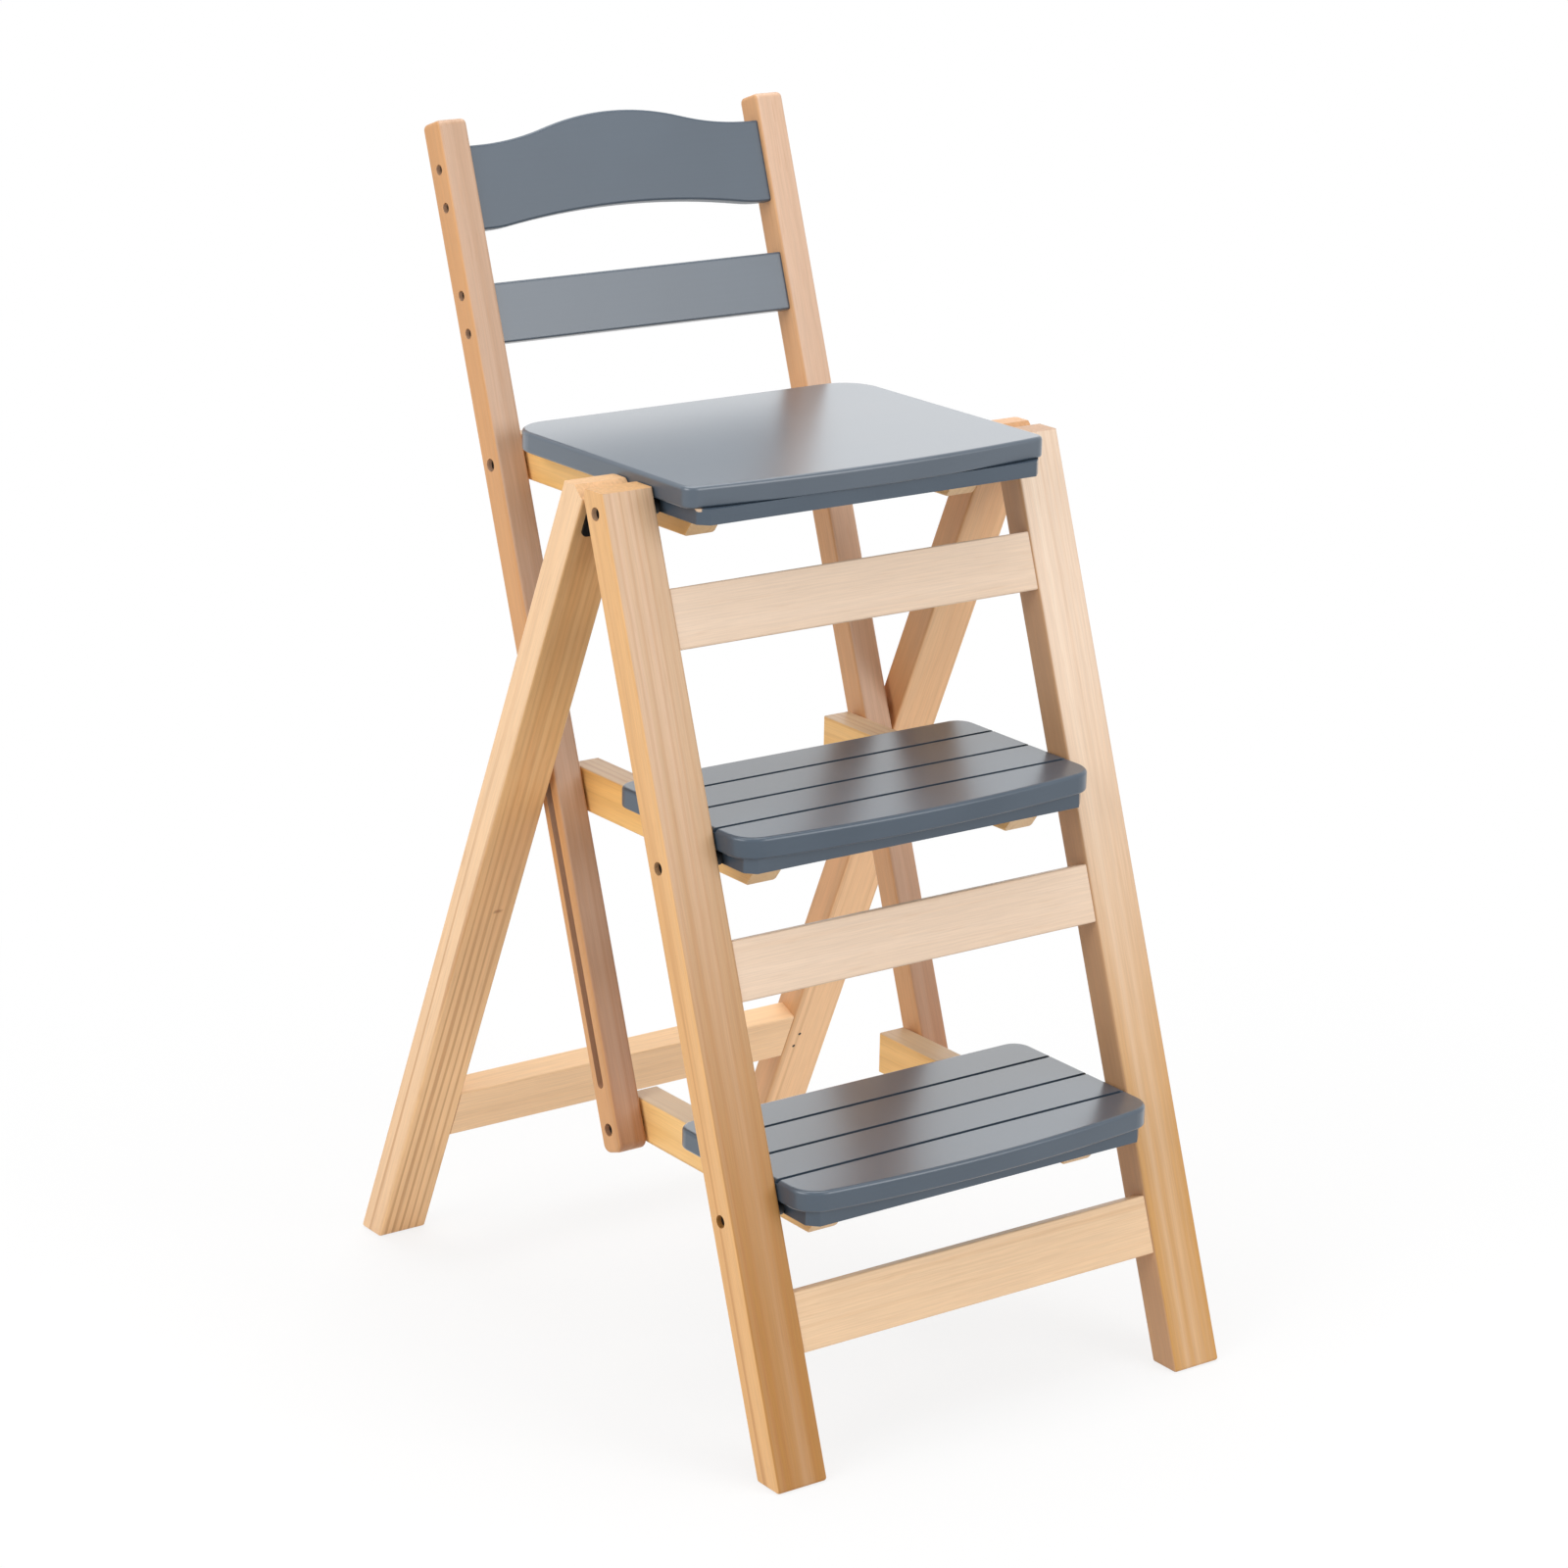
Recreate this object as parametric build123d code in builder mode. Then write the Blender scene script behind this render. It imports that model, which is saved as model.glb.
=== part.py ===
from build123d import *
import math
import os

os.makedirs("parts", exist_ok=True)

# Stance, in millimetres and degrees
frame_width = 413.0
lean = 19.0
spread = 23.8
fold = 65.0

# Legs, all four of one section
leg_width = 43.5
leg_depth = 26.0
leg_top = 681.0
leg_ease = 2.5
foot_ease = 2.0
front_notch_run = 6.0
rear_notch_run = 13.5
notch_drop = 9.5

# Hinges between the front and rear legs
hinge_z = 665.0
hinge_gap = 3.2
hinge_width = 29.0
leaf_length = 27.0
leaf_thick = 1.6
leaf_corner = 5.0
knuckle_radius = 3.0
knuckle_length = 8.5
knuckle_gap = 0.4
hinge_pin_radius = 1.4

# Rails between the front legs and bar between the rear legs
rail_height = 44.5
rail_thick = 15.0
rail_drop = 60.5
rail_set_back = 1.5
bar_z = 112.5
bar_height = 45.0
bar_thick = 20.0
bar_set_back = 1.0
rail_ease = 1.5

# Boards and the places of their pivots
bottom_pivot_z = 183.0
step_rise = 241.0
board_thick = 16.0
front_bow = 11.5
board_ease = 3.0
under_ease = 2.0
board_side_gap = 1.0
tread_front = 51.5
tread_back = 124.0
tread_front_radius = 22.0
tread_back_radius = 15.0
seat_front = 61.5
seat_back = 189.5
seat_front_radius = 10.0
seat_back_radius = 31.0
groove_count = 3
groove_from_back = 41.0
groove_pitch = 44.2
groove_width = 3.6
groove_depth = 3.2

# Cleat that carries the front pivot under each board
cleat_height = 11.5
tread_cleat_set_back = 12.7
seat_cleat_set_back = 3.6
cleat_back = 14.0
cleat_corner = 7.5
pivot_below_board = 7.7

# Arms under the boards, reaching back to the posts
arm_width = 26.0
arm_height = 33.0
arm_nose = 15.0
arm_nose_run = 13.0
arm_nose_rise = 17.0
arm_tail = 12.0
arm_ease = 2.0
link_reach = 217.2
link_drop = 13.0

# Back posts and their slats
post_width = 25.0
post_depth = 24.5
post_leg_gap = 4.5
post_above = 261.0
post_below = 18.0
post_ease = 3.0
post_top_radius = 4.5
post_foot_radius = 7.0
slat_thick = 12.0
slat_set_back = 4.8
slat_ease = 2.0
crest_drop = 20.5
crest_height = 64.3
crest_hump = 17.5
crest_arch = 9.7
crest_shoulder = 8.0
hump_turn_share = 0.5
arch_turn_share = 0.15
lower_slat_drop = 125.5
lower_slat_height = 46.0

# Guide groove and its pin
groove_slot_width = 8.0
groove_slot_depth = 6.0
guide_pin_radius = 3.4
guide_pin_depth = 15.0
guide_pin_bite = 20.0
guide_pin_clear = 0.5

# Bolts, spacers, washers and screws
bolt_radius = 3.0
bolt_head_radius = 4.8
bolt_head_length = 3.0
bolt_sink = 7.0
bolt_bite = 32.0
rear_bolt_bite = 22.0
blind_pin_bite = 14.0
running_fit = 0.06
head_fit = 0.2
end_room = 0.5
spacer_radius = 6.0
spacer_length = 8.2
spacer_clear = 0.3
washer_radius = 8.0
washer_thick = 1.7
washer_clear = 0.3
screw_radius = 2.0
screw_head_radius = 3.8
screw_head_length = 2.5
screw_sink = 6.0
screw_bite = 25.0
screw_pitch = 29.0
screw_lift = 2.0

# Places across the width, counted from the middle
half_width = frame_width / 2
leg_inner = half_width - leg_width
leg_middle = half_width - leg_width / 2
board_half = leg_inner - board_side_gap
cleat_half = leg_inner - spacer_length - spacer_clear
post_outer = leg_inner - post_leg_gap
post_inner = post_outer - post_width
arm_outer = post_inner - washer_thick - washer_clear
arm_inner = arm_outer - arm_width

# Slopes of the legs
sin_lean = math.sin(math.radians(lean))
cos_lean = math.cos(math.radians(lean))
tan_lean = math.tan(math.radians(lean))
sin_spread = math.sin(math.radians(spread))
cos_spread = math.cos(math.radians(spread))
tan_spread = math.tan(math.radians(spread))
up_leg = (0, sin_lean, cos_lean)

# Depth on the floor, so that the origin lies midway between the front and rear edges of the feet
hinge_from_foot = hinge_z * tan_lean + (leg_depth + hinge_gap) / cos_lean
rear_from_hinge = (hinge_gap + leg_depth) / cos_spread + hinge_z * tan_spread
foot_y = -(hinge_from_foot + rear_from_hinge) / 2
hinge_y = foot_y + hinge_from_foot


def on_front(z, behind):
    """Point of the side view at height z, so far behind the front faces of the front legs."""
    return (foot_y + z * tan_lean + behind / cos_lean, z)


def on_rear(z, behind):
    """Point of the side view at height z, so far behind the front faces of the rear legs."""
    return (hinge_y + (hinge_gap + behind) / cos_spread - (z - hinge_z) * tan_spread, z)


def across(point, x):
    """Plane across the stool at x, centred on a point of the side view and facing right."""
    return Plane(origin=(x, point[0], point[1]), x_dir=(0, 1, 0), z_dir=(1, 0, 0))


def facing_left(point, x):
    """The same plane facing left."""
    return Plane(origin=(x, point[0], point[1]), x_dir=(0, 1, 0), z_dir=(-1, 0, 0))


# Front pivots from the bottom up, and the rear pivots that the arms reach
levels = ["bottom", "middle", "seat"]
front_pivots = []
for step in range(len(levels)):
    front_pivots.append(on_front(bottom_pivot_z + step * step_rise, leg_depth / 2))
rear_pivots = [(y + link_reach, z - link_drop) for y, z in front_pivots]
seat_pivot = front_pivots[-1]
top_rear_pivot = rear_pivots[-1]

# Planes of the front legs and of the posts, with Y running up along them
front_plane = Plane(origin=(0, foot_y, 0), x_dir=(1, 0, 0), z_dir=(0, -cos_lean, sin_lean))
post_plane = Plane(origin=(0, *top_rear_pivot), x_dir=(1, 0, 0), z_dir=(0, -cos_lean, sin_lean))
slat_plane = post_plane.offset(post_depth / 2 - slat_set_back)
post_side = Plane(origin=(post_outer, *top_rear_pivot), x_dir=up_leg, z_dir=(1, 0, 0))
post_length_between = (len(levels) - 1) * step_rise / cos_lean

# Guide pin where the rear leg crosses the post, and the groove that it needs to fold
pin_z = (hinge_y + (hinge_gap + guide_pin_depth) / cos_spread + hinge_z * tan_spread
         - top_rear_pivot[0] + top_rear_pivot[1] * tan_lean) / (tan_lean + tan_spread)
guide_pin_point = on_rear(pin_z, guide_pin_depth)


def along_and_off(point, base):
    """Distance of a point from a base, along the front legs and square to them."""
    dy = point[0] - base[0]
    dz = point[1] - base[1]
    return dy * sin_lean + dz * cos_lean, dy * cos_lean - dz * sin_lean


link_along, link_off = along_and_off(top_rear_pivot, seat_pivot)
link_length = math.hypot(link_along, link_off)
folded_angle = math.atan2(link_off, link_along) - math.radians(fold)
folded_along = link_length * math.cos(folded_angle)
folded_off = link_length * math.sin(folded_angle)
hinge_along, hinge_off = along_and_off((hinge_y, hinge_z), seat_pivot)
pin_along, pin_off = along_and_off(guide_pin_point, (hinge_y, hinge_z))
pin_reach = math.hypot(pin_along, pin_off)
folded_pin_along = -math.sqrt(pin_reach ** 2 - (folded_off - hinge_off) ** 2)
groove_high = (guide_pin_point[1] - top_rear_pivot[1]) / cos_lean
groove_low = hinge_along + folded_pin_along - folded_along
rear_fold = math.degrees(math.atan2(pin_off, -pin_along)
                         - math.atan2(folded_off - hinge_off, -folded_pin_along))


def save(part, name):
    part.label = name
    export_step(part, f"parts/{name}.step")


def save_pair(right, name):
    """Writes a right-hand piece and its mirror image."""
    with BuildPart() as left:
        mirror(right, about=Plane.YZ)
    save(right, f"{name}_right")
    save(left.part, f"{name}_left")


# Front legs, with a sunk hole for each pivot bolt
with BuildPart() as front_leg:
    with BuildSketch(Plane.YZ.offset(leg_inner)):
        with BuildLine():
            back_top = on_front(leg_top, leg_depth)
            Polyline(on_front(0, 0), on_front(leg_top, 0), (back_top[0] - front_notch_run, leg_top),
                     on_front(leg_top - notch_drop, leg_depth), on_front(0, leg_depth), close=True)
        make_face()
    extrude(amount=leg_width)
    fillet(front_leg.edges().filter_by(Axis((0, 0, 0), up_leg)), leg_ease)
    fillet(front_leg.faces().sort_by(Axis.Z)[0].edges(), foot_ease)
    for pivot in front_pivots:
        with Locations(across(pivot, half_width)):
            CounterBoreHole(bolt_radius + running_fit, bolt_head_radius + head_fit, bolt_sink)
save_pair(front_leg.part, "front_leg")

# Rear legs, with a blind hole for the guide pin
with BuildPart() as rear_leg:
    with BuildSketch(Plane.YZ.offset(leg_inner)):
        with BuildLine():
            front_top = on_rear(leg_top, 0)
            Polyline(on_rear(0, 0), on_rear(leg_top - notch_drop, 0),
                     (front_top[0] + rear_notch_run, leg_top), on_rear(leg_top, leg_depth),
                     on_rear(0, leg_depth), close=True)
        make_face()
    extrude(amount=leg_width)
    fillet(rear_leg.edges().filter_by(Axis((0, 0, 0), (0, -sin_spread, cos_spread))), leg_ease)
    fillet(rear_leg.faces().sort_by(Axis.Z)[0].edges(), foot_ease)
    with Locations(facing_left(guide_pin_point, leg_inner)):
        Hole(guide_pin_radius + running_fit, depth=guide_pin_bite)
save_pair(rear_leg.part, "rear_leg")

# Rails between the front legs, one below each pivot
for level, pivot in zip(["lower", "middle", "upper"], front_pivots):
    with BuildPart() as rail:
        pivot_along = along_and_off(pivot, (foot_y, 0))[0]
        with BuildSketch(front_plane.offset(-rail_set_back)):
            with Locations((0, pivot_along - rail_drop - rail_height / 2)):
                Rectangle(2 * leg_inner, rail_height)
        extrude(amount=-rail_thick)
        fillet(rail.edges().filter_by(Axis.X), rail_ease)
    save(rail.part, f"front_rail_{level}")

# Crossbar between the rear legs
with BuildPart() as crossbar:
    bar_origin = (0, *on_rear(bar_z, bar_set_back))
    bar_plane = Plane(origin=bar_origin, x_dir=(1, 0, 0), z_dir=(0, -cos_spread, -sin_spread))
    with BuildSketch(bar_plane):
        Rectangle(2 * leg_inner, bar_height)
    extrude(amount=-bar_thick)
    fillet(crossbar.edges().filter_by(Axis.X), rail_ease)
save(crossbar.part, "rear_crossbar")


# Butt hinges: each leaf lies on its leg and carries its own knuckles
def make_leaf(plane, low, own_knuckles):
    clear = knuckle_radius + knuckle_gap
    with BuildPart() as leaf:
        with BuildSketch(plane.offset(low)) as outline:
            with Locations((0, (clear + leaf_length) / 2)):
                Rectangle(hinge_width, leaf_length - clear)
            fillet(outline.vertices().group_by(Axis.Y)[-1], leaf_corner)
            for middle, length in own_knuckles:
                with Locations((middle, clear)):
                    Rectangle(length, 2 * clear)
        extrude(amount=leaf_thick)
        for middle, length in own_knuckles:
            with BuildSketch(across((hinge_y, hinge_z), leg_middle + middle - length / 2)):
                Circle(knuckle_radius)
            extrude(amount=length)
        with BuildSketch(across((hinge_y, hinge_z), leg_middle - hinge_width / 2)):
            Circle(hinge_pin_radius + running_fit)
        extrude(amount=hinge_width, mode=Mode.SUBTRACT)
    return leaf.part


outer_knuckle = (hinge_width - knuckle_length) / 2
middle_knuckle_length = hinge_width - 2 * knuckle_length - 2 * knuckle_gap
hinge_origin = (leg_middle, hinge_y, hinge_z)
front_leaf_plane = Plane(origin=hinge_origin, x_dir=(1, 0, 0), z_dir=(0, cos_lean, -sin_lean))
rear_leaf_plane = Plane(origin=hinge_origin, x_dir=(1, 0, 0), z_dir=(0, cos_spread, sin_spread))
front_knuckles = [(-outer_knuckle, knuckle_length), (outer_knuckle, knuckle_length)]
save_pair(make_leaf(front_leaf_plane, -hinge_gap, front_knuckles), "hinge_front_leaf")
rear_knuckles = [(0, middle_knuckle_length)]
save_pair(make_leaf(rear_leaf_plane, hinge_gap - leaf_thick, rear_knuckles), "hinge_rear_leaf")

with BuildPart() as hinge_pin:
    with BuildSketch(across((hinge_y, hinge_z), leg_middle - hinge_width / 2)):
        Circle(hinge_pin_radius)
    extrude(amount=hinge_width)
save_pair(hinge_pin.part, "hinge_pin")

# Guide pins, held in the rear legs and ending just short of the posts
with BuildPart() as guide_pin:
    with BuildSketch(across(guide_pin_point, post_outer + guide_pin_clear)):
        Circle(guide_pin_radius)
    extrude(amount=leg_inner + guide_pin_bite - end_room - post_outer - guide_pin_clear)
save_pair(guide_pin.part, "guide_pin")


# Boards with a bowed front edge, rounded corners and, on the treads, cross grooves
def make_board(pivot, front, back, front_radius, back_radius, grooves):
    y, z = pivot
    top = z + pivot_below_board + board_thick
    side_y = y - front + front_bow
    with BuildPart() as board:
        with BuildSketch(Plane.XY.offset(top - board_thick)) as outline:
            with BuildLine():
                Polyline((board_half, side_y), (board_half, y + back), (-board_half, y + back),
                         (-board_half, side_y))
                ThreePointArc((-board_half, side_y), (0, y - front), (board_half, side_y))
            make_face()
            fillet(outline.vertices().group_by(Axis.Y)[-1], back_radius)
            fillet(outline.vertices().group_by(Axis.Y)[0], front_radius)
        extrude(amount=board_thick)
        fillet(board.faces().sort_by(Axis.Z)[-1].edges(), board_ease)
        fillet(board.faces().sort_by(Axis.Z)[0].edges(), under_ease)
        for number in range(grooves):
            groove_y = y + back - groove_from_back - number * groove_pitch
            with BuildSketch(Plane.YZ.offset(-board_half)):
                with Locations((groove_y, top - groove_depth / 2)):
                    Rectangle(groove_width, groove_depth)
            extrude(amount=2 * board_half, mode=Mode.SUBTRACT)
    return board.part


# Cleat under the front of a board, bored at both ends for the pivot bolts
def make_cleat(pivot, front):
    y, z = pivot
    with BuildPart() as cleat:
        with BuildSketch(Plane.XY.offset(z + pivot_below_board)) as outline:
            with Locations((0, y + (cleat_back - front) / 2)):
                Rectangle(2 * cleat_half, front + cleat_back)
            chamfer(outline.vertices().group_by(Axis.Y)[0], cleat_corner)
        extrude(amount=-cleat_height)
        with Locations(across(pivot, cleat_half), facing_left(pivot, -cleat_half)):
            Hole(bolt_radius + running_fit, depth=bolt_bite)
    return cleat.part


# Arm under a board, notched for the cleat and bored for the rear bolt
def make_arm(pivot, rear_pivot):
    y, z = pivot
    top = z + pivot_below_board
    nose_y = y - arm_nose
    tail_y = rear_pivot[0] + arm_tail
    with BuildPart() as arm:
        with BuildSketch(Plane.YZ.offset(arm_inner)):
            with BuildLine():
                Polyline((nose_y, top), (tail_y, top), (tail_y, top - arm_height),
                         (nose_y + arm_nose_run, top - arm_height),
                         (nose_y, top - arm_height + arm_nose_rise), close=True)
            make_face()
        extrude(amount=arm_width)
        rear_end = arm.faces().sort_by(Axis.Y)[-1].edges()
        fillet(arm.edges().filter_by(Axis.Y) + rear_end.filter_by(Axis.Z), arm_ease)
        with BuildSketch(Plane.YZ.offset(arm_inner)):
            with Locations((nose_y + (arm_nose + cleat_back) / 2, top - cleat_height / 2)):
                Rectangle(arm_nose + cleat_back, cleat_height)
        extrude(amount=arm_width, mode=Mode.SUBTRACT)
        with Locations(across(rear_pivot, arm_outer)):
            Hole(bolt_radius + running_fit, depth=rear_bolt_bite)
    return arm.part


for level, pivot, rear_pivot in zip(levels, front_pivots, rear_pivots):
    if level == "seat":
        seat = make_board(pivot, seat_front, seat_back, seat_front_radius, seat_back_radius, 0)
        save(seat, "seat_board")
        cleat_front = seat_front - seat_cleat_set_back
    else:
        tread = make_board(pivot, tread_front, tread_back, tread_front_radius, tread_back_radius,
                           groove_count)
        save(tread, f"{level}_tread")
        cleat_front = tread_front - tread_cleat_set_back
    save(make_cleat(pivot, cleat_front), f"{level}_cleat")
    save_pair(make_arm(pivot, rear_pivot), f"{level}_arm")

# Back posts, grooved on the outside for the guide pins and bored for bolts and screws
crest_middle = post_above - crest_drop - crest_height / 2
lower_slat_middle = post_above - lower_slat_drop - lower_slat_height / 2
screw_off = post_depth / 2 - slat_set_back - slat_thick / 2
outer_rear_pivots = [rear_pivots[0], rear_pivots[-1]]


def screw_planes(slat_middle, x):
    """Planes across the screws of one slat end, at x to the right."""
    planes = []
    for side in (-1, 1):
        along = slat_middle + screw_lift + side * screw_pitch / 2
        y = top_rear_pivot[0] + along * sin_lean - screw_off * cos_lean
        z = top_rear_pivot[1] + along * cos_lean + screw_off * sin_lean
        planes.append(across((y, z), x))
    return planes


def bore_both_ends(planes):
    """The planes of the right end and their mirror images at the left end."""
    left = [facing_left((plane.origin.Y, plane.origin.Z), -plane.origin.X) for plane in planes]
    return planes + left


with BuildPart() as back_post:
    with BuildSketch(post_side) as outline:
        post_low = -post_length_between - post_below
        with Locations(((post_above + post_low) / 2, 0)):
            Rectangle(post_above - post_low, post_depth)
        fillet(outline.vertices().group_by(Axis.X)[-1], post_top_radius)
        fillet(outline.vertices().group_by(Axis.X)[0], post_foot_radius)
    extrude(amount=-post_width)
    fillet(back_post.faces().filter_by(Axis.X).edges(), post_ease)
    with BuildSketch(post_side):
        with Locations(((groove_high + groove_low) / 2, 0)):
            SlotCenterToCenter(groove_high - groove_low, groove_slot_width)
    extrude(amount=-groove_slot_depth, mode=Mode.SUBTRACT)
    for pivot in outer_rear_pivots:
        with Locations(across(pivot, post_outer)):
            CounterBoreHole(bolt_radius + running_fit, bolt_head_radius + head_fit, bolt_sink)
    with Locations(facing_left(rear_pivots[1], post_inner)):
        Hole(bolt_radius + running_fit, depth=blind_pin_bite)
    for slat_middle in (crest_middle, lower_slat_middle):
        with Locations(*screw_planes(slat_middle, post_outer)):
            CounterBoreHole(screw_radius + running_fit, screw_head_radius + head_fit, screw_sink)
save_pair(back_post.part, "back_post")


# Line of a slat's long edge: level at both ends, with one round crown in the middle
def wave_line(half, low, rise, turn_share):
    turn_x = half * (1 - turn_share)
    turn_y = low + rise * turn_share
    TangentArc((half, low), (turn_x, turn_y), tangent=(-1, 0))
    ThreePointArc((turn_x, turn_y), (0, low + rise), (-turn_x, turn_y))
    TangentArc((-half, low), (-turn_x, turn_y), tangent=(1, 0))


# Crest slat, humped along its top and arched along its lower edge, with its ends square to the posts
with BuildPart() as crest_slat:
    with BuildSketch(slat_plane):
        crest_top = post_above - crest_drop
        crest_low = crest_top - crest_height
        shoulder = post_inner - crest_shoulder
        with BuildLine():
            wave_line(shoulder, crest_top, crest_hump, hump_turn_share)
            wave_line(shoulder, crest_low, crest_arch, arch_turn_share)
            for side in (-1, 1):
                Polyline((side * shoulder, crest_low), (side * post_inner, crest_low),
                         (side * post_inner, crest_top), (side * shoulder, crest_top))
        make_face()
    extrude(amount=-slat_thick)
    rims = crest_slat.faces().filter_by(Axis((0, 0, 0), slat_plane.z_dir)).edges()
    fillet(rims - rims.filter_by(Axis((0, 0, 0), up_leg)), slat_ease)
    with Locations(*bore_both_ends(screw_planes(crest_middle, post_inner))):
        Hole(screw_radius + running_fit, depth=screw_bite)
save(crest_slat.part, "crest_slat")

# Lower slat
with BuildPart() as lower_slat:
    with BuildSketch(slat_plane):
        with Locations((0, lower_slat_middle)):
            Rectangle(2 * post_inner, lower_slat_height)
    extrude(amount=-slat_thick)
    fillet(lower_slat.edges().filter_by(Axis.X), slat_ease)
    with Locations(*bore_both_ends(screw_planes(lower_slat_middle, post_inner))):
        Hole(screw_radius + running_fit, depth=screw_bite)
save(lower_slat.part, "lower_slat")


# Bolts and screws: a flat head seated in its hole, and a shank
def make_bolts(planes, head_radius, head_length, radius, length):
    with BuildPart() as bolts:
        for plane in planes:
            with BuildSketch(plane):
                Circle(head_radius)
            extrude(amount=head_length)
            with BuildSketch(plane):
                Circle(radius)
            extrude(amount=-length)
    return bolts.part


front_seat_x = half_width - bolt_sink
front_bolt_planes = [across(pivot, front_seat_x) for pivot in front_pivots]
front_bolt_length = front_seat_x - cleat_half + bolt_bite - end_room
save_pair(make_bolts(front_bolt_planes, bolt_head_radius, bolt_head_length, bolt_radius, front_bolt_length),
          "front_bolts")

rear_seat_x = post_outer - bolt_sink
rear_bolt_tip = arm_outer - rear_bolt_bite + end_room
rear_bolt_planes = [across(pivot, rear_seat_x) for pivot in outer_rear_pivots]
with BuildPart() as rear_bolts:
    add(make_bolts(rear_bolt_planes, bolt_head_radius, bolt_head_length, bolt_radius,
                   rear_seat_x - rear_bolt_tip))
    with BuildSketch(across(rear_pivots[1], rear_bolt_tip)):
        Circle(bolt_radius)
    extrude(amount=post_inner + blind_pin_bite - end_room - rear_bolt_tip)
save_pair(rear_bolts.part, "rear_bolts")

screw_seat_x = post_outer - screw_sink
slat_screw_planes = screw_planes(crest_middle, screw_seat_x) + screw_planes(lower_slat_middle, screw_seat_x)
screw_length = screw_seat_x - post_inner + screw_bite - end_room
save_pair(make_bolts(slat_screw_planes, screw_head_radius, screw_head_length, screw_radius, screw_length),
          "slat_screws")


# Rings round the bolts: spacers beside the legs and washers beside the posts
def make_rings(points, x, radius, length):
    with BuildPart() as rings:
        for point in points:
            with BuildSketch(across(point, x)):
                Circle(radius)
                Circle(bolt_radius + running_fit, mode=Mode.SUBTRACT)
            extrude(amount=-length)
    return rings.part


save_pair(make_rings(front_pivots, leg_inner, spacer_radius, spacer_length), "pivot_spacers")
save_pair(make_rings(rear_pivots, post_inner, washer_radius, washer_thick), "rear_washers")

print("rear legs fold", round(rear_fold, 4), "degrees while the seat folds", fold)
print("hinge", round(hinge_y, 3), hinge_z, "seat pivot", seat_pivot, "rear pivot", top_rear_pivot)
print("front pivots", front_pivots)
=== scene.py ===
import math

import bmesh
import bpy
from mathutils import Matrix, Vector


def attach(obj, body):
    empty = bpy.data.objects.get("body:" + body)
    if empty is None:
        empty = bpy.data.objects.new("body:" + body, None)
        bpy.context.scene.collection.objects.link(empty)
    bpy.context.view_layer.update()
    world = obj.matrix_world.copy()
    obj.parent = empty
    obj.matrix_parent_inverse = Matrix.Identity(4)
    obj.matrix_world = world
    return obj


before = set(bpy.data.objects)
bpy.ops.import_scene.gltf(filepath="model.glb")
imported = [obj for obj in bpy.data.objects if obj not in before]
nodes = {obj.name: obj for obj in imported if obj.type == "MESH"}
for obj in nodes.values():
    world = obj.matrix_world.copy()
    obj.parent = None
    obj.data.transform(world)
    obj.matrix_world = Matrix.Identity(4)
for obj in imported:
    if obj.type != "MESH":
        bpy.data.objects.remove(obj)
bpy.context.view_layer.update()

# Slopes and places repeated from the part, in degrees and metres
LEAN = math.radians(19.0)
SPREAD = math.radians(23.8)
HINGE = (-0.032677, 0.665)
HINGE_GAP = 0.0032
LEAF_THICK = 0.0016
LEG_MIDDLE = 0.18475
SLOT_FLOOR = 0.1525

UP_FRONT = Vector((0, math.sin(LEAN), math.cos(LEAN)))
UP_REAR = Vector((0, -math.sin(SPREAD), math.cos(SPREAD)))
OUT_REAR = Vector((0, -math.cos(SPREAD), -math.sin(SPREAD)))
ALONG_X = Vector((1, 0, 0))
ALONG_Y = Vector((0, 1, 0))
ALONG_Z = Vector((0, 0, 1))

# Marks seen on the wood and the paint
REAR_KNOT = Vector((-0.1786, 0.1263, 0.3125))
CLEAT_CHIP = (Vector((-0.1536, -0.1010, 0.6735)), 0.0035)
NAIL_PLACES = ((0.17478, 0.1129), (0.1725, 0.1010))


def srgb(r, g, b):
    """Linear colour of an 8-bit display colour."""
    out = []
    for c in (r, g, b):
        c /= 255
        out.append(c / 12.92 if c <= 0.04045 else ((c + 0.055) / 1.055) ** 2.4)
    return (*out, 1.0)


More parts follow.
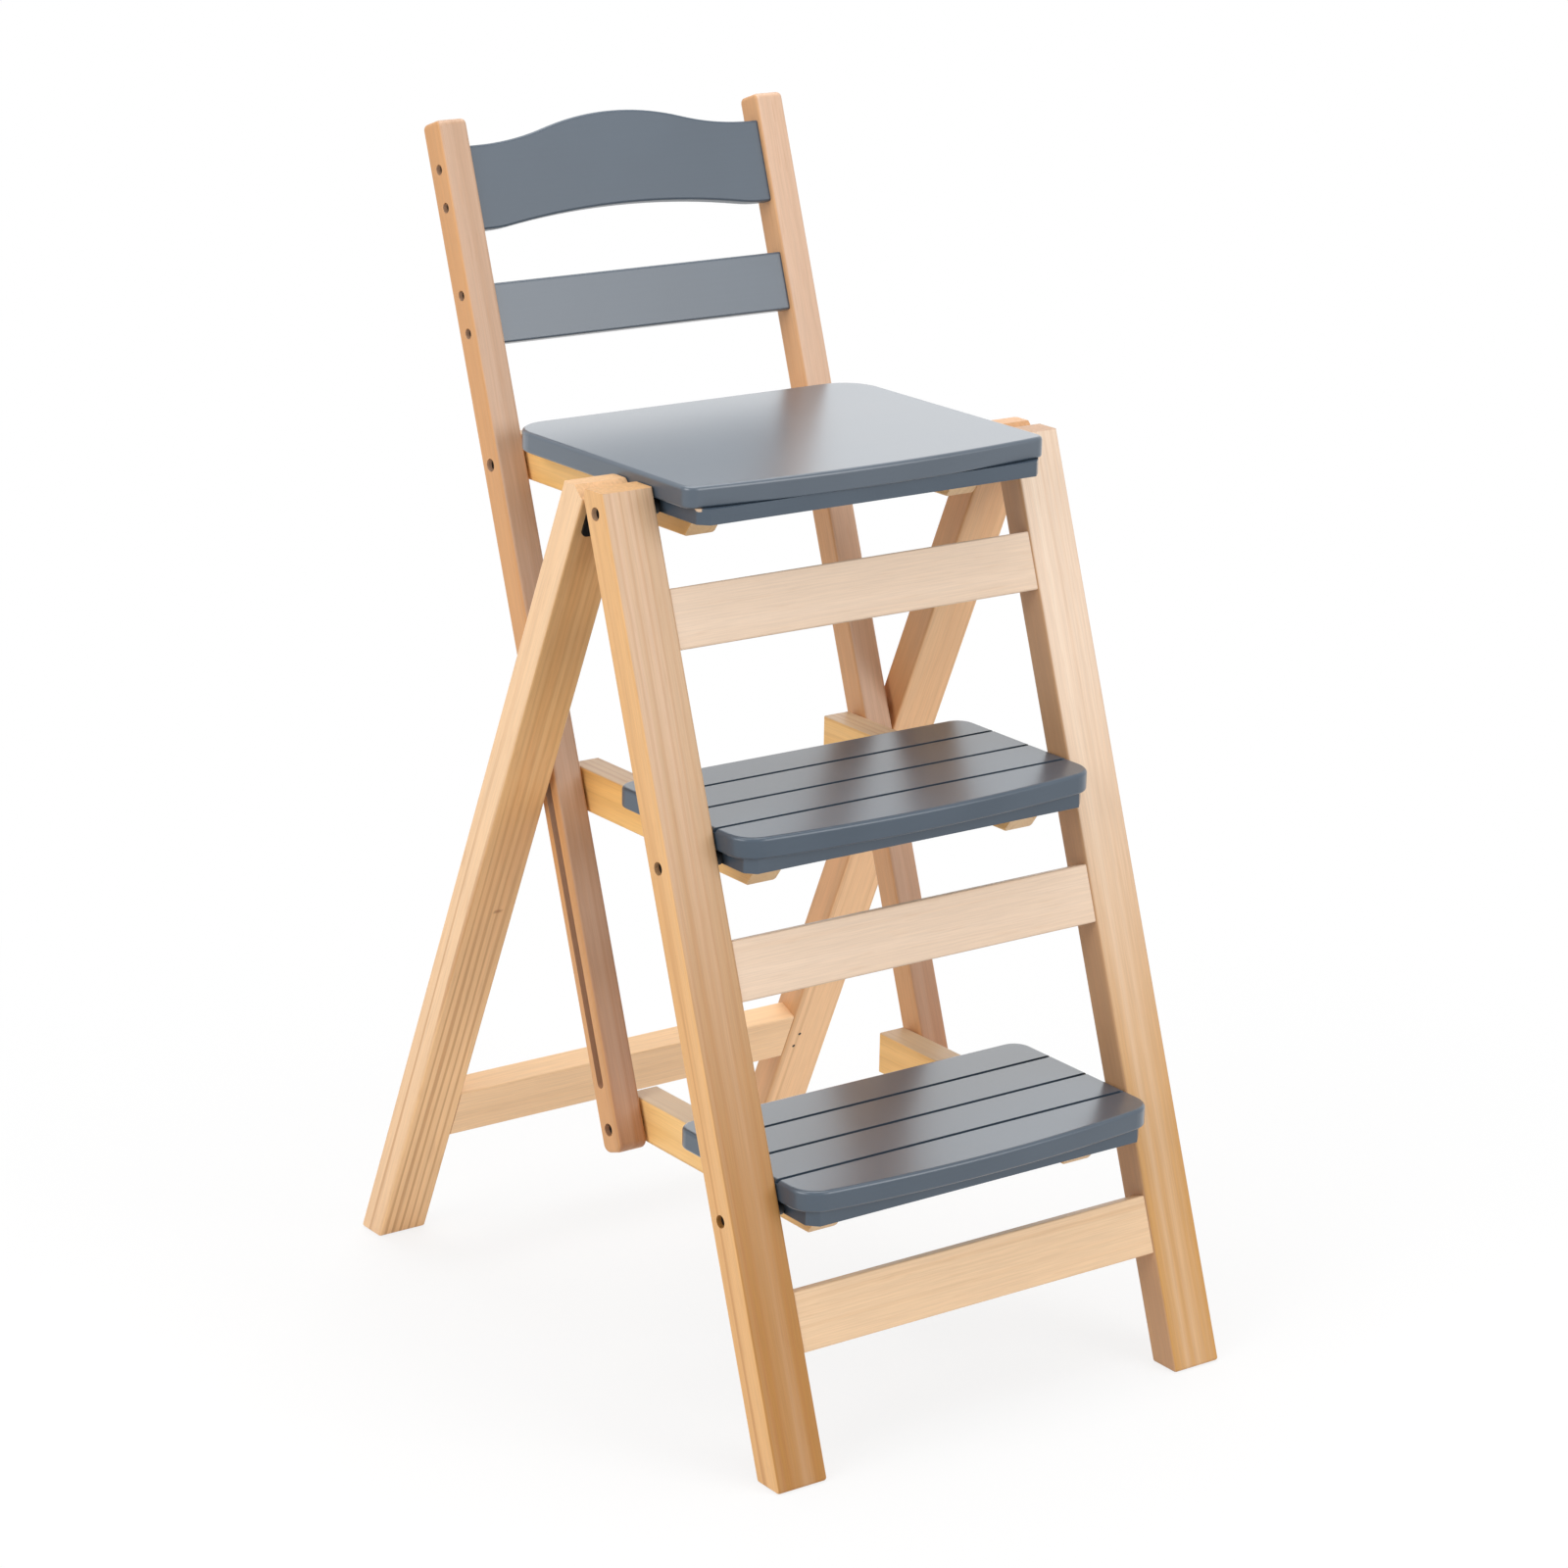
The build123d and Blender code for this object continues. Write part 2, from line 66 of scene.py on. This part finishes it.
class Graph:
    """A small helper that adds and links shader nodes."""

    def __init__(self, name):
        self.mat = bpy.data.materials.new(name)
        self.mat.use_nodes = True
        self.tree = self.mat.node_tree
        self.tree.nodes.clear()
        self.out = self.tree.nodes.new("ShaderNodeOutputMaterial")
        self.bsdf = self.tree.nodes.new("ShaderNodeBsdfPrincipled")
        self.tree.links.new(self.bsdf.outputs[0], self.out.inputs[0])
        self.coords = self.tree.nodes.new("ShaderNodeTexCoord")

    def put(self, socket, value):
        if isinstance(value, bpy.types.NodeSocket):
            self.tree.links.new(value, socket)
        else:
            socket.default_value = value

    def math(self, op, a, b=0.0, c=0.0):
        n = self.tree.nodes.new("ShaderNodeMath")
        n.operation = op
        for socket, value in zip(n.inputs, (a, b, c)):
            self.put(socket, value)
        return n.outputs[0]

    def times(self, a, b):
        return self.math("MULTIPLY", a, b)

    def dot(self, vector, axis):
        n = self.tree.nodes.new("ShaderNodeVectorMath")
        n.operation = "DOT_PRODUCT"
        self.put(n.inputs[0], vector)
        n.inputs[1].default_value = axis
        return n.outputs["Value"]

    def distance(self, vector, point):
        n = self.tree.nodes.new("ShaderNodeVectorMath")
        n.operation = "DISTANCE"
        self.put(n.inputs[0], vector)
        n.inputs[1].default_value = point
        return n.outputs["Value"]

    def combine(self, x, y, z):
        n = self.tree.nodes.new("ShaderNodeCombineXYZ")
        for socket, value in zip(n.inputs, (x, y, z)):
            self.put(socket, value)
        return n.outputs[0]

    def noise(self, vector, scale=1.0, detail=2.0, rough=0.5):
        n = self.tree.nodes.new("ShaderNodeTexNoise")
        self.put(n.inputs["Vector"], vector)
        n.inputs["Scale"].default_value = scale
        n.inputs["Detail"].default_value = detail
        n.inputs["Roughness"].default_value = rough
        return n.outputs[0]

    def ramp(self, value, low, high, to_low=0.0, to_high=1.0):
        n = self.tree.nodes.new("ShaderNodeMapRange")
        n.interpolation_type = "SMOOTHSTEP"
        for socket, v in zip(n.inputs, (value, low, high, to_low, to_high)):
            self.put(socket, v)
        return n.outputs[0]

    def mix(self, fac, a, b, blend="MIX"):
        n = self.tree.nodes.new("ShaderNodeMix")
        n.data_type = "RGBA"
        n.blend_type = blend
        self.put(n.inputs[0], fac)
        self.put(n.inputs[6], a)
        self.put(n.inputs[7], b)
        return n.outputs[2]

    def shaded(self, colour, shade):
        return self.mix(1.0, colour, self.combine(shade, shade, shade), "MULTIPLY")

    def bump(self, height, strength, distance):
        n = self.tree.nodes.new("ShaderNodeBump")
        n.inputs["Strength"].default_value = strength
        n.inputs["Distance"].default_value = distance
        self.put(n.inputs["Height"], height)
        self.tree.links.new(n.outputs[0], self.bsdf.inputs["Normal"])


# Range that a noise is stretched from where it should run from one end to the other
NOISE_LOW, NOISE_HIGH = 0.3, 0.7

# Grain of the wood: cycles per metre across and along the grain, noise detail and roughness
WARP = (14, 1.6, 2)
WAVER = (120, 1.5, 2)
GATE = (34, 1.2, 1)
FIBRE = (900, 22, 3, 0.6)
FLECK = (330, 30, 2)
BROAD_ACROSS, BROAD_ALONG = 70, 0.8
END_GRAIN = 420

# Growth rings, the fade to the lower colour, a knot and the painted shade in a groove, in metres
RING_PITCH = 0.0075
WARP_REACH = 0.010
LOWER_FROM, LOWER_TO = 0.52, 0.0
KNOT_EDGE, KNOT_CORE, KNOT_RAGGED = 0.0075, 0.003, 0.003
SLOT_EDGE, SLOT_CORE = 0.002, 0.001

# Slope of the rings, narrowness of a knot, shares of knot, painted groove shade and flecks, shifts
# for each seed
RING_SLANT = 0.45
KNOT_SQUEEZE = 2.4
KNOT_SHARE, GROOVE_SHADE_SHARE, FLECK_SHARE = 0.6, 0.85, 0.16
SEED_ACROSS, SEED_OTHER = 0.37, 0.21

# How squarely a face has to look sideways, or along the grain, to count as a side or an end
SIDE_FACING = (0.5, 0.8)
END_FACING = (0.84, 0.97)

# Clear lacquer, and the strength and depth of its bump
LACQUER_ROUGH = (0.38, 0.54)
LACQUER_COAT, LACQUER_COAT_ROUGH = 0.15, 0.3
LACQUER_SPECULAR = 0.35
GRAIN_BUMP = (0.08, 0.0004)


def make_wood(name, axis, seed, front, side, low, line, line_share, knot=None, slot_floor=None):
    """Clear-lacquered pine with straight grain along axis.

    front and side are the pale and deep colours of the faces that look forward, and sideways
    or down; the deeper side colour is partly the wood's own and partly painted shade. low is the
    colour towards the lower end, and line is the colour of the late growth.
    knot is the place of a small knot. slot_floor is how far a groove's floor with painted shade is
    from x = 0.
    """
    g = Graph(name)
    place = g.coords.outputs["Object"]
    across = ALONG_X if abs(axis.x) < 0.5 else ALONG_Y
    other = axis.cross(across).normalized()
    along = g.dot(place, axis)
    u = g.math("ADD", g.dot(place, across), seed * SEED_ACROSS)
    v = g.math("ADD", g.dot(place, other), seed * SEED_OTHER)

    def streak(fine, length, detail, rough=0.5):
        at = g.combine(g.times(u, fine), g.times(v, fine), g.times(along, length))
        return g.noise(at, 1, detail, rough)

    slanted = g.math("MULTIPLY_ADD", v, RING_SLANT, u)
    bent = g.math("MULTIPLY_ADD", streak(*WARP), WARP_REACH, slanted)
    at = g.combine(g.times(bent, BROAD_ACROSS), seed, g.times(along, BROAD_ALONG))
    broad = g.noise(at, 1, 2, 0.55)
    waver = g.math("MULTIPLY_ADD", streak(*WAVER), 6.0, g.times(broad, 5.0))
    phase = g.math("MULTIPLY_ADD", bent, 2 * math.pi / RING_PITCH, waver)
    late = g.ramp(g.math("SINE", phase), 0.10, 0.95)
    gate = g.ramp(streak(*GATE), 0.36, 0.64)
    fibre = streak(*FIBRE)
    fleck = streak(*FLECK)
    tone = g.ramp(broad, 0.32, 0.70)
    normal = g.coords.outputs["Normal"]
    beside = g.math("ABSOLUTE", g.dot(normal, ALONG_X))
    sideways = g.ramp(g.math("MAXIMUM", beside, g.dot(normal, -ALONG_Z)), *SIDE_FACING)
    lower = g.ramp(along, LOWER_FROM, LOWER_TO)
    faces = g.mix(tone, front[0], front[1])
    faces = g.mix(g.times(lower, g.ramp(broad, 0.25, 0.65, 0.7, 1.0)), faces, low)
    # Faces that look sideways or down take the deeper side colour, which is partly painted shade
    colour = g.mix(sideways, faces, g.mix(tone, side[0], side[1]))
    lines = g.times(g.times(late, gate), g.ramp(lower, 0, 1, line_share * 0.45, line_share))
    colour = g.mix(lines, colour, line)
    colour = g.mix(g.times(g.ramp(fleck, 0.58, 0.78), FLECK_SHARE), colour, line)
    colour = g.shaded(colour, g.ramp(fibre, NOISE_LOW, NOISE_HIGH, 0.93, 1.04))
    if knot:
        flat = (g.dot(place, ALONG_X), g.dot(place, other))
        squeezed = g.combine(*flat, g.times(along, KNOT_SQUEEZE))
        away = g.distance(squeezed, (knot.x, knot.dot(other), knot.dot(axis) * KNOT_SQUEEZE))
        ragged = g.math("MULTIPLY_ADD", g.noise(place, 350, 2), KNOT_RAGGED, away)
        colour = g.mix(g.ramp(ragged, KNOT_EDGE, KNOT_CORE, 0.0, KNOT_SHARE), colour, KNOT)
    # Painted shade: the side faces near the groove's floor are darkened, as if shade fell there
    if slot_floor:
        out = g.math("ABSOLUTE", g.dot(place, ALONG_X))
        inset = g.math("ABSOLUTE", g.math("SUBTRACT", out, slot_floor))
        groove_shaded = g.times(sideways, g.ramp(inset, SLOT_EDGE, SLOT_CORE, 0.0, GROOVE_SHADE_SHARE))
        colour = g.mix(groove_shaded, colour, GROOVE_SHADE)
    # Cut ends show end grain
    end = g.ramp(g.math("ABSOLUTE", g.dot(normal, axis)), *END_FACING)
    pores = g.noise(g.combine(g.times(u, END_GRAIN), g.times(v, END_GRAIN), along), 1, 2)
    speck = g.ramp(pores, 0.35, 0.65, 0.80, 0.95)
    colour = g.mix(end, colour, g.shaded(side[1], speck))
    g.put(g.bsdf.inputs["Base Color"], colour)
    g.put(g.bsdf.inputs["Roughness"], g.ramp(fibre, 0.2, 0.8, *LACQUER_ROUGH))
    g.bsdf.inputs["Coat Weight"].default_value = LACQUER_COAT
    g.bsdf.inputs["Coat Roughness"].default_value = LACQUER_COAT_ROUGH
    g.bsdf.inputs["Specular IOR Level"].default_value = LACQUER_SPECULAR
    g.bump(g.math("MULTIPLY_ADD", late, 0.5, fibre), *GRAIN_BUMP)
    return g.mat


# Brush strokes, clouds and fine peel of the paint, in cycles per metre
STROKE_ALONG, STROKE_ACROSS = 6, 420
CLOUD, PEEL = 9, 900

# Gloss and bump of the paint, and the wood that a chip shows
GLOSS_SPREAD = 0.015
COAT_SMOOTHER = 0.8
PAINT_SPECULAR = 0.5
PAINT_BUMP = (0.01, 0.0003)
BARE_WOOD = srgb(206, 176, 146)


def make_paint(name, seed, base, light, rough, coat, coat_ior, chip=None):
    """Satin paint brushed over wood, with an optional chipped spot that shows the wood below."""
    g = Graph(name)
    place = g.coords.outputs["Object"]
    x = g.math("ADD", g.dot(place, ALONG_X), seed)
    y = g.dot(place, ALONG_Y)
    z = g.dot(place, ALONG_Z)
    fine_y, fine_z = g.times(y, STROKE_ACROSS), g.times(z, STROKE_ACROSS)
    stroke = g.noise(g.combine(g.times(x, STROKE_ALONG), fine_y, fine_z), 1, 3, 0.6)
    cloud = g.noise(g.combine(x, y, z), CLOUD, 2)
    peel = g.noise(g.combine(x, y, z), PEEL, 2)
    colour = g.mix(g.ramp(cloud, NOISE_LOW, NOISE_HIGH), base, light)
    colour = g.shaded(colour, g.ramp(stroke, NOISE_LOW, NOISE_HIGH, 0.985, 1.012))
    uneven = g.math("MULTIPLY_ADD", stroke, 0.3, g.times(cloud, 0.7))
    gloss = g.ramp(uneven, NOISE_LOW, NOISE_HIGH, rough - GLOSS_SPREAD, rough + GLOSS_SPREAD)
    if chip:
        spot, radius = chip
        ragged = g.math("MULTIPLY_ADD", g.noise(place, 400, 3), radius, g.distance(place, spot))
        bare = g.ramp(ragged, radius * 1.45, radius * 1.35)
        colour = g.mix(bare, colour, BARE_WOOD)
    g.put(g.bsdf.inputs["Base Color"], colour)
    g.put(g.bsdf.inputs["Roughness"], gloss)
    g.bsdf.inputs["Specular IOR Level"].default_value = PAINT_SPECULAR
    g.bsdf.inputs["Coat Weight"].default_value = coat
    g.bsdf.inputs["Coat IOR"].default_value = coat_ior
    g.bsdf.inputs["Coat Roughness"].default_value = rough * COAT_SMOOTHER
    g.bump(g.math("MULTIPLY_ADD", peel, 0.4, stroke), *PAINT_BUMP)
    return g.mat


# Grain and worn patches of the black pieces in cycles per metre, their gloss and bump
BLACK_GRAIN, BLACK_PATCH = 1400, 130
BLACK_SPREAD = 0.08
BLACK_BUMP = (0.12, 0.0002)


def make_black(name, base, worn, rough, metallic):
    """Black plastic or blackened steel with fine grain and slightly worn spots."""
    g = Graph(name)
    place = g.coords.outputs["Object"]
    grain = g.noise(place, BLACK_GRAIN, 2)
    patch = g.noise(place, BLACK_PATCH, 3)
    g.put(g.bsdf.inputs["Base Color"], g.mix(g.ramp(patch, 0.5, 0.72), base, worn))
    gloss = g.ramp(grain, NOISE_LOW, NOISE_HIGH, rough - BLACK_SPREAD, rough + BLACK_SPREAD)
    g.put(g.bsdf.inputs["Roughness"], gloss)
    g.bsdf.inputs["Metallic"].default_value = metallic
    g.bump(grain, *BLACK_BUMP)
    return g.mat


# Colours of the wood: pale and deep pairs, lower ends, late growth and marks
PEACH = (srgb(216, 181, 150), srgb(203, 167, 130))
CREAM = (srgb(238, 214, 190), srgb(227, 199, 174))
HONEY = (srgb(228, 182, 126), srgb(216, 160, 100))
MAIZE = (srgb(243, 199, 152), srgb(234, 186, 138))
STRAW = (srgb(240, 202, 160), srgb(234, 190, 144))
GOLD = (srgb(231, 183, 127), srgb(221, 169, 109))
UMBER = (srgb(202, 158, 118), srgb(188, 144, 106))
BLUSH = (srgb(237, 213, 190), srgb(228, 201, 175))
ROSE = (srgb(204, 169, 142), srgb(192, 155, 126))
PINK = (srgb(222, 187, 160), srgb(212, 175, 146))
BISCUIT = (srgb(232, 197, 158), srgb(223, 184, 144))
SAND = (srgb(250, 211, 166), srgb(242, 199, 152))
RUSSET = (srgb(220, 168, 120), srgb(204, 152, 106))
COPPER = (srgb(212, 158, 106), srgb(198, 144, 94))
OATMEAL = (srgb(228, 204, 172), srgb(218, 188, 152))
AMBER = (srgb(246, 200, 132), srgb(238, 186, 112))
LOW_GOLD = srgb(174, 120, 52)
LOW_TAN = srgb(197, 145, 78)
LOW_HONEY = srgb(252, 208, 156)
LOW_CLAY = srgb(176, 119, 78)
LINE = srgb(174, 112, 54)
SOFT_LINE = srgb(204, 158, 112)
KNOT = srgb(150, 86, 40)
# Colour of the painted shade inside the groove of the back posts
GROOVE_SHADE = srgb(96, 62, 40)

# Grain direction, seed, front, side, lower and line colours, line strength, knot and slot floor
wood_plan = {
    "front_leg_left": (UP_FRONT, 1.0, PEACH, GOLD, LOW_GOLD, LINE, 0.5),
    "front_leg_right": (UP_FRONT, 2.3, CREAM, UMBER, LOW_TAN, SOFT_LINE, 0.5),
    "rear_leg_left": (UP_REAR, 3.1, HONEY, STRAW, LOW_HONEY, LINE, 0.5, REAR_KNOT),
    "rear_leg_right": (UP_REAR, 4.7, MAIZE, RUSSET, MAIZE[0], SOFT_LINE, 0.5),
    "front_rail_upper": (ALONG_X, 5.2, BLUSH, BLUSH, BLUSH[1], SOFT_LINE, 0.2),
    "front_rail_middle": (ALONG_X, 6.8, BLUSH, BLUSH, BLUSH[1], SOFT_LINE, 0.2),
    "front_rail_lower": (ALONG_X, 7.4, BISCUIT, BISCUIT, BISCUIT[0], SOFT_LINE, 0.35),
    "rear_crossbar": (ALONG_X, 8.9, SAND, SAND, SAND[0], SOFT_LINE, 0.25),
    "back_post_left": (UP_FRONT, 9.3, ROSE, COPPER, LOW_CLAY, LINE, 0.22, None, SLOT_FLOOR),
    "back_post_right": (UP_FRONT, 10.6, PINK, RUSSET, LOW_CLAY, LINE, 0.22, None, SLOT_FLOOR),
}
ARM_SEED = 12.0
for count, level in enumerate(("seat", "middle", "bottom")):
    for shift, hand in ((0.4, "left"), (0.9, "right")):
        seed = ARM_SEED + count + shift
        wood_plan[f"{level}_arm_{hand}"] = (ALONG_Y, seed, OATMEAL, AMBER, OATMEAL[1], LINE, 0.3)

# Paint colours, and the roughness, coat and coat IOR of each painted piece
SLATE = srgb(62, 76, 90)
SLATE_LIGHT = srgb(68, 82, 96)
PAINT_SEED_STEP = 1.7
paint_plan = {
    "seat_board": (0.36, 0.9, 1.5),
    "middle_tread": (0.29, 0.25, 1.5),
    "bottom_tread": (0.29, 1.0, 1.3),
    "seat_cleat": (0.29, 0.3, 1.5),
    "middle_cleat": (0.29, 0.3, 1.5),
    "bottom_cleat": (0.29, 0.3, 1.5),
    "crest_slat": (0.41, 0.25, 1.5),
    "lower_slat": (0.36, 0.85, 1.5),
}
nylon = make_black("black_nylon", srgb(24, 24, 25), srgb(38, 38, 38), 0.5, 0.0)
steel = make_black("black_steel", srgb(30, 29, 29), srgb(58, 55, 52), 0.42, 0.6)

finish_of = {}
for name, plan in wood_plan.items():
    finish_of[name] = make_wood(f"wood_{name}", *plan)
for count, (name, plan) in enumerate(paint_plan.items()):
    chip = CLEAT_CHIP if name == "seat_cleat" else None
    seed = count * PAINT_SEED_STEP
    finish_of[name] = make_paint(f"paint_{name}", seed, SLATE, SLATE_LIGHT, *plan, chip)
for name in nodes:
    if name.startswith(("pivot_spacers", "rear_washers", "guide_pin")):
        finish_of[name] = nylon
    elif name not in finish_of:
        finish_of[name] = steel
for name, obj in nodes.items():
    obj.data.materials.clear()
    obj.data.materials.append(finish_of[name])


def place_piece(name, mesh, centre, outward, turn, body):
    """Turn a finished mesh into a blackened steel piece that faces outward and moves with body."""
    data = bpy.data.meshes.new(name)
    mesh.normal_update()
    mesh.to_mesh(data)
    mesh.free()
    obj = bpy.data.objects.new(name, data)
    bpy.context.scene.collection.objects.link(obj)
    spin = Matrix.Rotation(turn, 4, "Z")
    facing = outward.to_track_quat("Z", "Y").to_matrix().to_4x4()
    obj.matrix_world = Matrix.Translation(centre) @ facing @ spin
    data.materials.append(steel)
    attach(obj, body)


def slotted_screw(name, centre, outward, turn, radius, body):
    """A countersunk screw head: a rim, and two half moons with the driver slot between them."""
    half_slot = radius * 0.16
    inner = radius * 0.93
    rise = radius * 0.10
    slot_bottom = rise * 0.2
    sunk = rise * 0.5
    taper = 0.96
    sides = 28
    steps = 15
    mesh = bmesh.new()
    turns = [2 * math.pi * k / sides for k in range(sides)]
    rim = [(math.cos(t) * radius, math.sin(t) * radius) for t in turns]
    base = [mesh.verts.new((x, y, slot_bottom)) for x, y in rim]
    low = [mesh.verts.new((x, y, -rise)) for x, y in rim]
    mesh.faces.new(base)
    for k in range(sides):
        nxt = (k + 1) % sides
        mesh.faces.new((low[k], low[nxt], base[nxt], base[k]))
    mesh.faces.new(low[::-1])
    start = math.asin(half_slot / inner)
    for flip in (inner, -inner):
        arc = [start + (math.pi - 2 * start) * k / (steps - 1) for k in range(steps)]
        moon = [(flip * math.cos(t), flip * math.sin(t)) for t in arc]
        floor = [mesh.verts.new((x, y, -sunk)) for x, y in moon]
        crown = [mesh.verts.new((x * taper, y * taper, rise)) for x, y in moon]
        for k in range(steps):
            nxt = (k + 1) % steps
            mesh.faces.new((floor[k], floor[nxt], crown[nxt], crown[k]))
        mesh.faces.new(crown)
        mesh.faces.new(floor[::-1])
    place_piece(name, mesh, centre, outward, turn, body)


def nail_head(name, centre, outward, radius, body):
    """A small nail head: a dished crown with a rounded rim, driven flush."""
    sides = 20
    profile = ((1.0, -0.12), (1.0, 0.02), (0.9, 0.09), (0.6, 0.06), (0.3, 0.03))
    mesh = bmesh.new()
    turns = [2 * math.pi * k / sides for k in range(sides)]
    rings = []
    for wide, high in profile:
        rim = [(math.cos(t) * radius * wide, math.sin(t) * radius * wide) for t in turns]
        rings.append([mesh.verts.new((x, y, radius * high)) for x, y in rim])
    for low, high in zip(rings, rings[1:]):
        for k in range(sides):
            nxt = (k + 1) % sides
            mesh.faces.new((low[k], low[nxt], high[nxt], high[k]))
    mesh.faces.new(rings[0][::-1])
    mesh.faces.new(rings[-1])
    place_piece(name, mesh, centre, outward, 0.0, body)


# Screws in the hinge leaves on the rear legs, three to a leaf
SCREW_RADIUS = 0.0026
FIRST_TURN, NEXT_TURN = 0.5, 0.9
SCREW_PLACES = ((-0.0085, 0.0135), (0.0085, 0.0135), (0.0, 0.0215))
hinge_at = Vector((0, HINGE[0], HINGE[1]))
for hand, sign in (("left", -1), ("right", 1)):
    for count, (dx, down) in enumerate(SCREW_PLACES):
        spot = hinge_at - OUT_REAR * (HINGE_GAP - LEAF_THICK) - UP_REAR * down
        spot.x = sign * LEG_MIDDLE + dx
        turn = FIRST_TURN + count * NEXT_TURN
        name = f"hinge_screw_{hand}_{count}"
        slotted_screw(name, spot, OUT_REAR, turn, SCREW_RADIUS, "rear_frame")

# Nail heads in the front of the right rear leg, by the end of the crossbar
NAIL_RADIUS = 0.0014
on_leg = hinge_at - OUT_REAR * HINGE_GAP
for count, (x, z) in enumerate(NAIL_PLACES):
    spot = on_leg + UP_REAR * ((z - on_leg.z) / UP_REAR.z)
    spot.x = x
    nail_head(f"nail_{count}", spot, OUT_REAR, NAIL_RADIUS, "rear_frame")

# Camera at the photograph's angle
CAMERA_PLACE = Vector((-1.837944, -2.536183, 1.385027))
LENS, SENSOR = 99.024, 36.0
CLIP_START, CLIP_END = 0.1, 60.0
YAW, PITCH, ROLL = (math.radians(a) for a in (-35.9096, 17.1562, 1.0346))
camera_data = bpy.data.cameras.new("camera")
camera_data.sensor_width = SENSOR
camera_data.lens = LENS
camera_data.clip_start = CLIP_START
camera_data.clip_end = CLIP_END
camera = bpy.data.objects.new("camera", camera_data)
bpy.context.scene.collection.objects.link(camera)
level_x, level_y = math.sin(YAW) * math.cos(PITCH), -math.cos(YAW) * math.cos(PITCH)
back = Vector((level_x, level_y, math.sin(PITCH)))
level_right = (-back).cross(ALONG_Z).normalized()
level_up = level_right.cross(-back)
right = level_right * math.cos(ROLL) + level_up * math.sin(ROLL)
up = level_up * math.cos(ROLL) - level_right * math.sin(ROLL)
facing = Matrix((right, up, back)).transposed().to_4x4()
camera.matrix_world = Matrix.Translation(CAMERA_PLACE) @ facing
bpy.context.scene.camera = camera


def seen_directly(tree):
    """One for camera, mirror and see-through rays, nought for rays that only carry light."""
    path = tree.nodes.new("ShaderNodeLightPath")
    total = path.outputs["Is Camera Ray"]
    for kind in ("Is Glossy Ray", "Is Transmission Ray"):
        either = tree.nodes.new("ShaderNodeMath")
        either.operation = "MAXIMUM"
        tree.links.new(total, either.inputs[0])
        tree.links.new(path.outputs[kind], either.inputs[1])
        total = either.outputs[0]
    return total


# Pale floor that shows the shadow near the feet and turns white further out
FLOOR_REACH = 14.0
FLOOR_DROP = 0.0005
FLOOR_COLOUR = (0.86, 0.86, 0.86, 1)
FLOOR_ROUGH, FLOOR_SPECULAR = 0.9, 0.1
SHADOW_FROM, SHADOW_TO = 0.35, 1.1
SHADOW_WHITE = 0.8
floor_mesh = bpy.data.meshes.new("floor")
corners = [(-FLOOR_REACH, -FLOOR_REACH, 0), (FLOOR_REACH, -FLOOR_REACH, 0),
           (FLOOR_REACH, FLOOR_REACH, 0), (-FLOOR_REACH, FLOOR_REACH, 0)]
floor_mesh.from_pydata(corners, [], [(0, 1, 2, 3)])
floor = bpy.data.objects.new("floor", floor_mesh)
floor.location.z = -FLOOR_DROP
bpy.context.scene.collection.objects.link(floor)
g = Graph("pale_floor")
g.bsdf.inputs["Base Color"].default_value = FLOOR_COLOUR
g.bsdf.inputs["Roughness"].default_value = FLOOR_ROUGH
g.bsdf.inputs["Specular IOR Level"].default_value = FLOOR_SPECULAR
glow = g.tree.nodes.new("ShaderNodeEmission")
away = g.distance(g.coords.outputs["Object"], (0, 0, 0))
blend = g.tree.nodes.new("ShaderNodeMixShader")
whiteness = g.ramp(away, SHADOW_FROM, SHADOW_TO, SHADOW_WHITE, 1.0)
g.put(blend.inputs[0], g.times(seen_directly(g.tree), whiteness))
g.put(blend.inputs[1], g.bsdf.outputs[0])
g.put(blend.inputs[2], glow.outputs[0])
g.put(g.out.inputs[0], blend.outputs[0])
floor_mesh.materials.append(g.mat)

# White surroundings, dimmer as a light than as a backdrop
WORLD_LIGHT = 0.46
world = bpy.data.worlds.new("studio")
world.use_nodes = True
bpy.context.scene.world = world
tree = world.node_tree
background = tree.nodes["Background"]
background.inputs["Color"].default_value = (1, 1, 1, 1)
level = tree.nodes.new("ShaderNodeMapRange")
level.inputs["To Min"].default_value = WORLD_LIGHT
level.inputs["To Max"].default_value = 1.0
tree.links.new(seen_directly(tree), level.inputs["Value"])
tree.links.new(level.outputs[0], background.inputs["Strength"])


def softbox(name, place, size, watts):
    """A square area lamp that looks at the middle of the stool."""
    light = bpy.data.lights.new(name, "AREA")
    light.shape = "SQUARE"
    light.size = size
    light.energy = watts
    lamp = bpy.data.objects.new(name, light)
    bpy.context.scene.collection.objects.link(lamp)
    lamp.location = place
    lamp.rotation_mode = "QUATERNION"
    lamp.rotation_quaternion = (LAMP_TARGET - Vector(place)).to_track_quat("-Z", "Y")


# Lamps by place, width and power
LAMP_TARGET = Vector((0, 0, 0.45))
softbox("softbox_left", (-3.2, -0.4, 2.2), 2.2, 56)
softbox("softbox_front", (1.6, -3.4, 2.0), 2.2, 54)
softbox("softbox_top", (0.2, 0.4, 3.4), 2.6, 62)
softbox("softbox_back", (2.4, 3.3, 1.7), 2.4, 9)

bpy.context.scene.view_settings.view_transform = "Standard"
